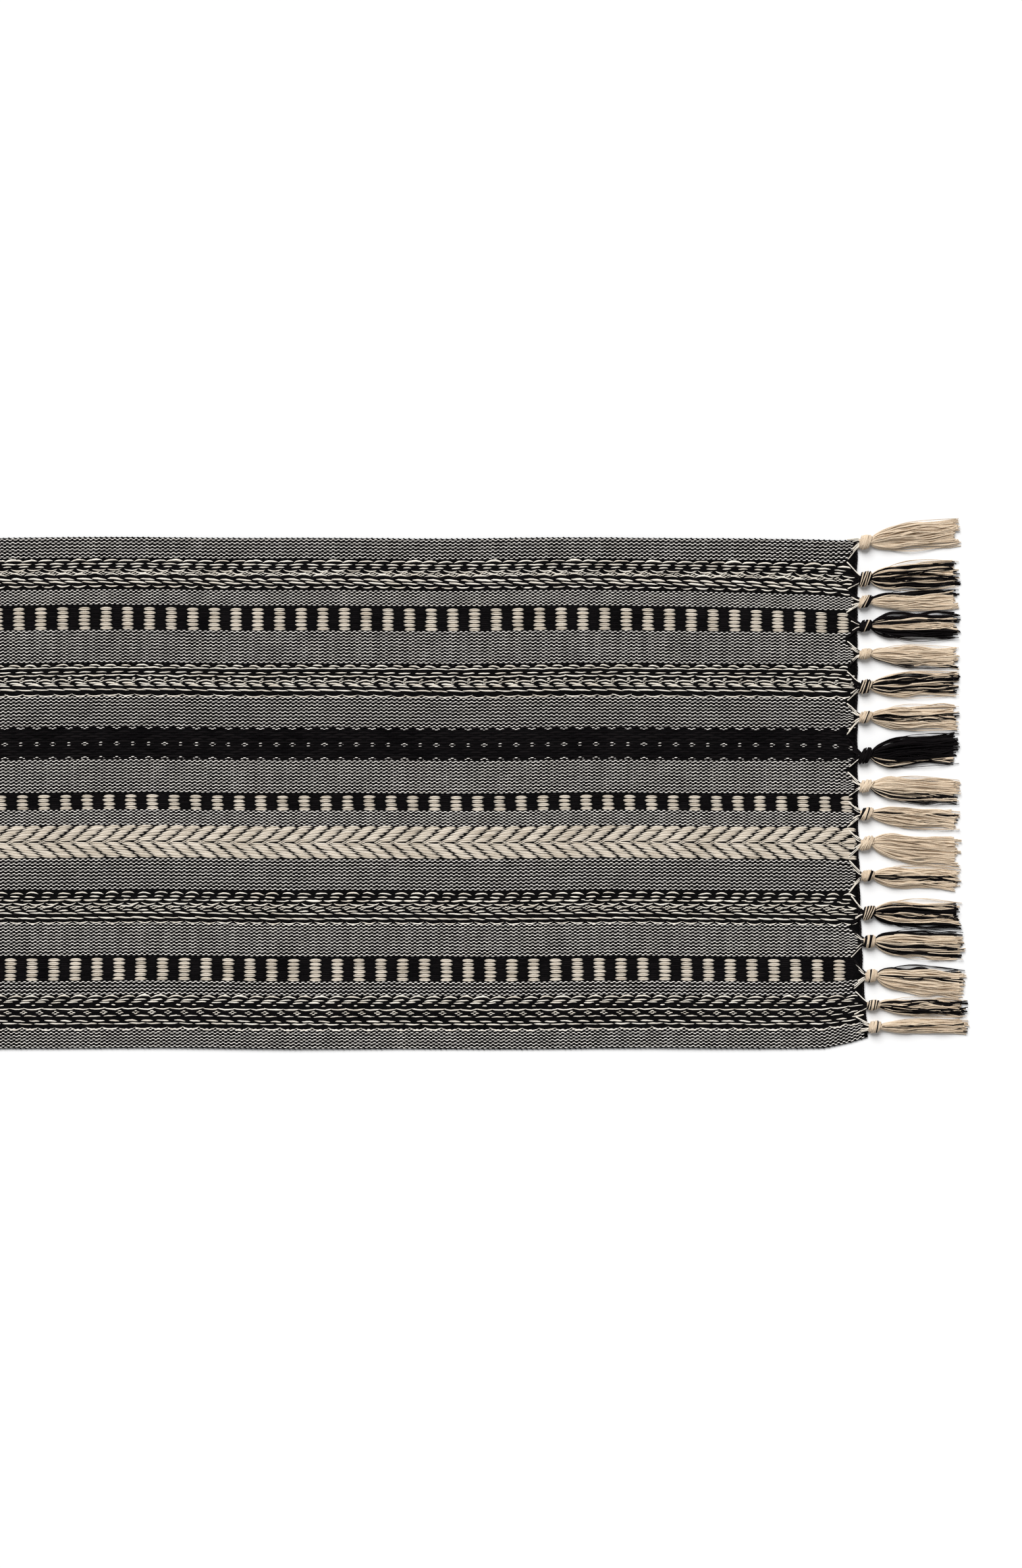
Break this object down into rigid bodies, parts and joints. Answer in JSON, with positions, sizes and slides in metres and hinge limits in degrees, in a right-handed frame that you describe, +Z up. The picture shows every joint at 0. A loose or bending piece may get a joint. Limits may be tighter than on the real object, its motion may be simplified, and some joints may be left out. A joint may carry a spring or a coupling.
{
  "type": "runner rug",
  "caption": "Long narrow flat-woven cotton floor runner with lengthwise black and cream patterned stripes and knotted tassel fringe at both ends.",
  "frame": {"origin": "middle of the underside of the whole rug, fringe included, on the floor", "axes": "+X along the warp towards the front fringe, +Y across the rug towards the first ground stripe, +Z up from the floor"},
  "size_m": [2.0926, 0.6566, 0.012],
  "materials": {
    "ground_weave": "plain weave of cream warp dashes on black, matt cotton",
    "pattern_weave": "cream and black warp floats, matt cotton",
    "cream_cotton": "undyed cream cotton yarn, matt",
    "black_cotton": "black cotton yarn, matt",
    "mixed_yarns": "black and cream cotton yarns gathered together, matt"
  },
  "bodies": {
    "cloth": {"ground_stripe_01": "ground_weave", "chain_band_01": "pattern_weave", "ground_stripe_02": "ground_weave", "block_band_01": "pattern_weave", "ground_stripe_03": "ground_weave", "chain_band_02": "pattern_weave", "ground_stripe_04": "ground_weave", "black_band": "black_cotton", "ground_stripe_05": "ground_weave", "block_band_02": "pattern_weave", "ground_stripe_06": "ground_weave", "chevron_band": "cream_cotton", "ground_stripe_07": "ground_weave", "chain_band_03": "pattern_weave", "ground_stripe_08": "ground_weave", "block_band_03": "pattern_weave", "ground_stripe_09": "ground_weave", "chain_band_04": "pattern_weave", "ground_stripe_10": "ground_weave", "gathered_warp_front": "pattern_weave", "gathered_warp_rear": "pattern_weave"},
    "front_tassel_01": {"front_tassel_01": "cream_cotton"},
    "front_tassel_02": {"front_tassel_02": "mixed_yarns"},
    "front_tassel_03": {"front_tassel_03": "cream_cotton"},
    "front_tassel_04": {"front_tassel_04": "mixed_yarns"},
    "front_tassel_05": {"front_tassel_05": "cream_cotton"},
    "front_tassel_06": {"front_tassel_06": "mixed_yarns"},
    "front_tassel_07": {"front_tassel_07": "cream_cotton"},
    "front_tassel_08": {"front_tassel_08": "black_cotton"},
    "front_tassel_09": {"front_tassel_09": "cream_cotton"},
    "front_tassel_10": {"front_tassel_10": "cream_cotton"},
    "front_tassel_11": {"front_tassel_11": "cream_cotton"},
    "front_tassel_12": {"front_tassel_12": "cream_cotton"},
    "front_tassel_13": {"front_tassel_13": "mixed_yarns"},
    "front_tassel_14": {"front_tassel_14": "cream_cotton"},
    "front_tassel_15": {"front_tassel_15": "cream_cotton"},
    "front_tassel_16": {"front_tassel_16": "mixed_yarns"},
    "front_tassel_17": {"front_tassel_17": "cream_cotton"},
    "rear_tassel_01": {"rear_tassel_01": "cream_cotton"},
    "rear_tassel_02": {"rear_tassel_02": "mixed_yarns"},
    "rear_tassel_03": {"rear_tassel_03": "cream_cotton"},
    "rear_tassel_04": {"rear_tassel_04": "mixed_yarns"},
    "rear_tassel_05": {"rear_tassel_05": "cream_cotton"},
    "rear_tassel_06": {"rear_tassel_06": "mixed_yarns"},
    "rear_tassel_07": {"rear_tassel_07": "cream_cotton"},
    "rear_tassel_08": {"rear_tassel_08": "black_cotton"},
    "rear_tassel_09": {"rear_tassel_09": "cream_cotton"},
    "rear_tassel_10": {"rear_tassel_10": "cream_cotton"},
    "rear_tassel_11": {"rear_tassel_11": "cream_cotton"},
    "rear_tassel_12": {"rear_tassel_12": "cream_cotton"},
    "rear_tassel_13": {"rear_tassel_13": "mixed_yarns"},
    "rear_tassel_14": {"rear_tassel_14": "cream_cotton"},
    "rear_tassel_15": {"rear_tassel_15": "cream_cotton"},
    "rear_tassel_16": {"rear_tassel_16": "mixed_yarns"},
    "rear_tassel_17": {"rear_tassel_17": "cream_cotton"}
  },
  "joints": [
    {"name": "front_tassel_01_bend", "type": "hinge", "parent": "cloth", "child": "front_tassel_01", "pos_m": [0.9126, 0.3, 0.0013], "axis": [0, -1, 0], "range_deg": [0, 90]},
    {"name": "front_tassel_02_bend", "type": "hinge", "parent": "cloth", "child": "front_tassel_02", "pos_m": [0.9126, 0.256, 0.0013], "axis": [0, -1, 0], "range_deg": [0, 90]},
    {"name": "front_tassel_03_bend", "type": "hinge", "parent": "cloth", "child": "front_tassel_03", "pos_m": [0.9126, 0.229, 0.0013], "axis": [0, -1, 0], "range_deg": [0, 90]},
    {"name": "front_tassel_04_bend", "type": "hinge", "parent": "cloth", "child": "front_tassel_04", "pos_m": [0.91261, 0.2, 0.0013], "axis": [0, -1, 0], "range_deg": [0, 90]},
    {"name": "front_tassel_05_bend", "type": "hinge", "parent": "cloth", "child": "front_tassel_05", "pos_m": [0.91264, 0.1665, 0.0013], "axis": [0, -1, 0], "range_deg": [0, 90]},
    {"name": "front_tassel_06_bend", "type": "hinge", "parent": "cloth", "child": "front_tassel_06", "pos_m": [0.9127, 0.1275, 0.0013], "axis": [0, -1, 0], "range_deg": [0, 90]},
    {"name": "front_tassel_07_bend", "type": "hinge", "parent": "cloth", "child": "front_tassel_07", "pos_m": [0.9128, 0.091, 0.0013], "axis": [0, -1, 0], "range_deg": [0, 90]},
    {"name": "front_tassel_08_bend", "type": "hinge", "parent": "cloth", "child": "front_tassel_08", "pos_m": [0.91305, 0.045, 0.0013], "axis": [0, -1, 0], "range_deg": [0, 90]},
    {"name": "front_tassel_09_bend", "type": "hinge", "parent": "cloth", "child": "front_tassel_09", "pos_m": [0.91335, 0.0085, 0.0013], "axis": [0, -1, 0], "range_deg": [0, 90]},
    {"name": "front_tassel_10_bend", "type": "hinge", "parent": "cloth", "child": "front_tassel_10", "pos_m": [0.91375, -0.0245, 0.0013], "axis": [0, -1, 0], "range_deg": [0, 90]},
    {"name": "front_tassel_11_bend", "type": "hinge", "parent": "cloth", "child": "front_tassel_11", "pos_m": [0.91432, -0.0595, 0.0013], "axis": [0, -1, 0], "range_deg": [0, 90]},
    {"name": "front_tassel_12_bend", "type": "hinge", "parent": "cloth", "child": "front_tassel_12", "pos_m": [0.91519, -0.0985, 0.0013], "axis": [0, -1, 0], "range_deg": [0, 90]},
    {"name": "front_tassel_13_bend", "type": "hinge", "parent": "cloth", "child": "front_tassel_13", "pos_m": [0.91653, -0.143, 0.0013], "axis": [0, -1, 0], "range_deg": [0, 90]},
    {"name": "front_tassel_14_bend", "type": "hinge", "parent": "cloth", "child": "front_tassel_14", "pos_m": [0.91786, -0.177, 0.0013], "axis": [0, -1, 0], "range_deg": [0, 90]},
    {"name": "front_tassel_15_bend", "type": "hinge", "parent": "cloth", "child": "front_tassel_15", "pos_m": [0.9199, -0.218, 0.0013], "axis": [0, -1, 0], "range_deg": [0, 90]},
    {"name": "front_tassel_16_bend", "type": "hinge", "parent": "cloth", "child": "front_tassel_16", "pos_m": [0.92205, -0.253, 0.0013], "axis": [0, -1, 0], "range_deg": [0, 90]},
    {"name": "front_tassel_17_bend", "type": "hinge", "parent": "cloth", "child": "front_tassel_17", "pos_m": [0.92394, -0.279, 0.0013], "axis": [0, -1, 0], "range_deg": [0, 90]},
    {"name": "rear_tassel_01_bend", "type": "hinge", "parent": "cloth", "child": "rear_tassel_01", "pos_m": [-0.9126, -0.3, 0.0013], "axis": [0, 1, 0], "range_deg": [0, 90]},
    {"name": "rear_tassel_02_bend", "type": "hinge", "parent": "cloth", "child": "rear_tassel_02", "pos_m": [-0.9126, -0.256, 0.0013], "axis": [0, 1, 0], "range_deg": [0, 90]},
    {"name": "rear_tassel_03_bend", "type": "hinge", "parent": "cloth", "child": "rear_tassel_03", "pos_m": [-0.9126, -0.229, 0.0013], "axis": [0, 1, 0], "range_deg": [0, 90]},
    {"name": "rear_tassel_04_bend", "type": "hinge", "parent": "cloth", "child": "rear_tassel_04", "pos_m": [-0.91261, -0.2, 0.0013], "axis": [0, 1, 0], "range_deg": [0, 90]},
    {"name": "rear_tassel_05_bend", "type": "hinge", "parent": "cloth", "child": "rear_tassel_05", "pos_m": [-0.91264, -0.1665, 0.0013], "axis": [0, 1, 0], "range_deg": [0, 90]},
    {"name": "rear_tassel_06_bend", "type": "hinge", "parent": "cloth", "child": "rear_tassel_06", "pos_m": [-0.9127, -0.1275, 0.0013], "axis": [0, 1, 0], "range_deg": [0, 90]},
    {"name": "rear_tassel_07_bend", "type": "hinge", "parent": "cloth", "child": "rear_tassel_07", "pos_m": [-0.9128, -0.091, 0.0013], "axis": [0, 1, 0], "range_deg": [0, 90]},
    {"name": "rear_tassel_08_bend", "type": "hinge", "parent": "cloth", "child": "rear_tassel_08", "pos_m": [-0.91305, -0.045, 0.0013], "axis": [0, 1, 0], "range_deg": [0, 90]},
    {"name": "rear_tassel_09_bend", "type": "hinge", "parent": "cloth", "child": "rear_tassel_09", "pos_m": [-0.91335, -0.0085, 0.0013], "axis": [0, 1, 0], "range_deg": [0, 90]},
    {"name": "rear_tassel_10_bend", "type": "hinge", "parent": "cloth", "child": "rear_tassel_10", "pos_m": [-0.91375, 0.0245, 0.0013], "axis": [0, 1, 0], "range_deg": [0, 90]},
    {"name": "rear_tassel_11_bend", "type": "hinge", "parent": "cloth", "child": "rear_tassel_11", "pos_m": [-0.91432, 0.0595, 0.0013], "axis": [0, 1, 0], "range_deg": [0, 90]},
    {"name": "rear_tassel_12_bend", "type": "hinge", "parent": "cloth", "child": "rear_tassel_12", "pos_m": [-0.91519, 0.0985, 0.0013], "axis": [0, 1, 0], "range_deg": [0, 90]},
    {"name": "rear_tassel_13_bend", "type": "hinge", "parent": "cloth", "child": "rear_tassel_13", "pos_m": [-0.91653, 0.143, 0.0013], "axis": [0, 1, 0], "range_deg": [0, 90]},
    {"name": "rear_tassel_14_bend", "type": "hinge", "parent": "cloth", "child": "rear_tassel_14", "pos_m": [-0.91786, 0.177, 0.0013], "axis": [0, 1, 0], "range_deg": [0, 90]},
    {"name": "rear_tassel_15_bend", "type": "hinge", "parent": "cloth", "child": "rear_tassel_15", "pos_m": [-0.9199, 0.218, 0.0013], "axis": [0, 1, 0], "range_deg": [0, 90]},
    {"name": "rear_tassel_16_bend", "type": "hinge", "parent": "cloth", "child": "rear_tassel_16", "pos_m": [-0.92205, 0.253, 0.0013], "axis": [0, 1, 0], "range_deg": [0, 90]},
    {"name": "rear_tassel_17_bend", "type": "hinge", "parent": "cloth", "child": "rear_tassel_17", "pos_m": [-0.92394, 0.279, 0.0013], "axis": [0, 1, 0], "range_deg": [0, 90]}
  ]
}
